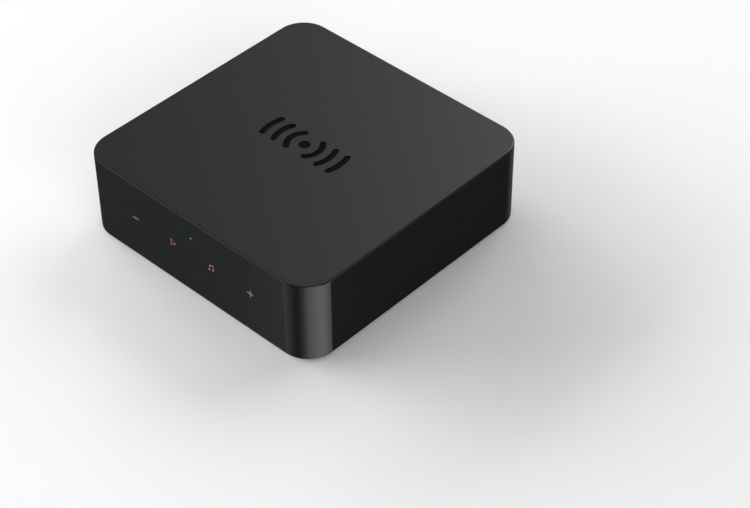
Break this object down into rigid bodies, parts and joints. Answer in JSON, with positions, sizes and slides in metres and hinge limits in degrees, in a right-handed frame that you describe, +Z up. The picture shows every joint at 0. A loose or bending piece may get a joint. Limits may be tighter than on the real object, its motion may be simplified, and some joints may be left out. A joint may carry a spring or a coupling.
{
  "type": "streaming media player",
  "caption": "Low square box with round corners, touch controls on the front face and phono, optical, network and power sockets with spring shutters at the rear.",
  "frame": {"origin": "centre of the square casing's footprint, on the surface that the rubber foot rests on", "axes": "+Z up; the front face with the touch controls faces -Y; the sockets face +Y; +X is to the right seen from the front"},
  "size_m": [0.14, 0.148, 0.042],
  "materials": {
    "housing_plastic": "fine satin texture, dark grey",
    "mark_plastic": "polished black",
    "legend_ink": "matte copper",
    "light_pipe": "clear, lit green",
    "base_plastic": "fine matte black",
    "foot_rubber": "matte black",
    "tape": "matte adhesive film",
    "panel_plastic": "fine matte black",
    "circuit_board": "satin solder resist, dark green",
    "chip_resin": "matte black moulding compound",
    "capacitor_can": "satin",
    "ferrite": "matte grey",
    "plated_tin": "bright tin plate",
    "thermal_gum": "matte pale blue",
    "sink_aluminium": "satin extruded",
    "screw_steel": "black zinc",
    "spring_steel": "bright",
    "foam": "matte foam",
    "electrode_copper": "bare copper",
    "lamp_resin": "clear resin",
    "ribbon_film": "white film",
    "connector_nylon": "natural nylon",
    "aerial_film": "copper-backed film",
    "lead_jacket": "satin black",
    "gold_plate": "gold flash",
    "phono_plastic": "matte black",
    "insulator_white": "satin white",
    "insulator_red": "satin red",
    "insulator_orange": "satin orange",
    "optical_plastic": "matte black",
    "shutter_plastic": "matte charcoal",
    "lens_resin": "tinted clear resin",
    "jack_plastic": "satin black",
    "socket_plastic": "matte black",
    "socket_light": "clear resin",
    "usb_steel": "drawn stainless"
  },
  "bodies": {
    "player": {"top_housing": "housing_plastic", "top_mark": "mark_plastic", "touch_legends": "legend_ink", "status_light_pipe": "light_pipe", "base_plate": "base_plastic", "foot_pad": "foot_rubber", "foot_tape": "tape", "rear_panel": "panel_plastic", "main_board": "circuit_board", "audio_chips": "chip_resin", "power_chips": "chip_resin", "electrolytic_capacitors": "capacitor_can", "power_inductors": "ferrite", "clock_crystals": "plated_tin", "ethernet_transformer": "chip_resin", "audio_shield": "plated_tin", "processor_module": "circuit_board", "processor_chips": "chip_resin", "processor_shield": "plated_tin", "thermal_pad": "thermal_gum", "heat_sink": "sink_aluminium", "heat_sink_screws": "screw_steel", "heat_sink_springs": "spring_steel", "touch_board": "circuit_board", "touch_foam": "foam", "touch_electrodes": "electrode_copper", "legend_lamps": "lamp_resin", "touch_controller": "chip_resin", "ribbon_connectors": "connector_nylon", "ribbon_cable": "ribbon_film", "side_aerials": "aerial_film", "aerial_ceiling": "aerial_film", "aerial_plugs": "gold_plate", "aerial_lead_left": "lead_jacket", "aerial_lead_right": "lead_jacket", "aerial_lead_ceiling": "lead_jacket", "phono_housings": "phono_plastic", "phono_barrels": "gold_plate", "phono_insulators_white": "insulator_white", "phono_insulators_red": "insulator_red", "phono_insulator_orange": "insulator_orange", "phono_contacts": "gold_plate", "optical_out_housing": "optical_plastic", "optical_out_spring": "spring_steel", "optical_in_housing": "optical_plastic", "optical_in_spring": "spring_steel", "optical_light_units": "lens_resin", "trigger_jack": "jack_plastic", "trigger_contacts": "plated_tin", "ethernet_shell": "plated_tin", "ethernet_insert": "socket_plastic", "ethernet_contacts": "gold_plate", "ethernet_lights": "socket_light", "usb_shell": "usb_steel", "usb_tongue": "socket_plastic", "usb_contacts": "gold_plate", "base_screws": "screw_steel", "board_screws": "screw_steel"},
    "optical_out_door_leaf": {"optical_out_shutter": "shutter_plastic"},
    "optical_in_door_leaf": {"optical_in_shutter": "shutter_plastic"}
  },
  "joints": [
    {"name": "optical_out_door", "type": "hinge", "parent": "player", "child": "optical_out_door_leaf", "pos_m": [0.005, 0.0688, 0.0185], "axis": [-1, 0, 0], "range_deg": [0, 90], "stiffness_Nm_per_rad": 0.0001, "springref_deg": -34.38, "deforming": ["optical_out_spring"]},
    {"name": "optical_in_door", "type": "hinge", "parent": "player", "child": "optical_in_door_leaf", "pos_m": [-0.0065, 0.0688, 0.0185], "axis": [-1, 0, 0], "range_deg": [0, 90], "stiffness_Nm_per_rad": 0.0001, "springref_deg": -34.38, "deforming": ["optical_in_spring"]}
  ]
}
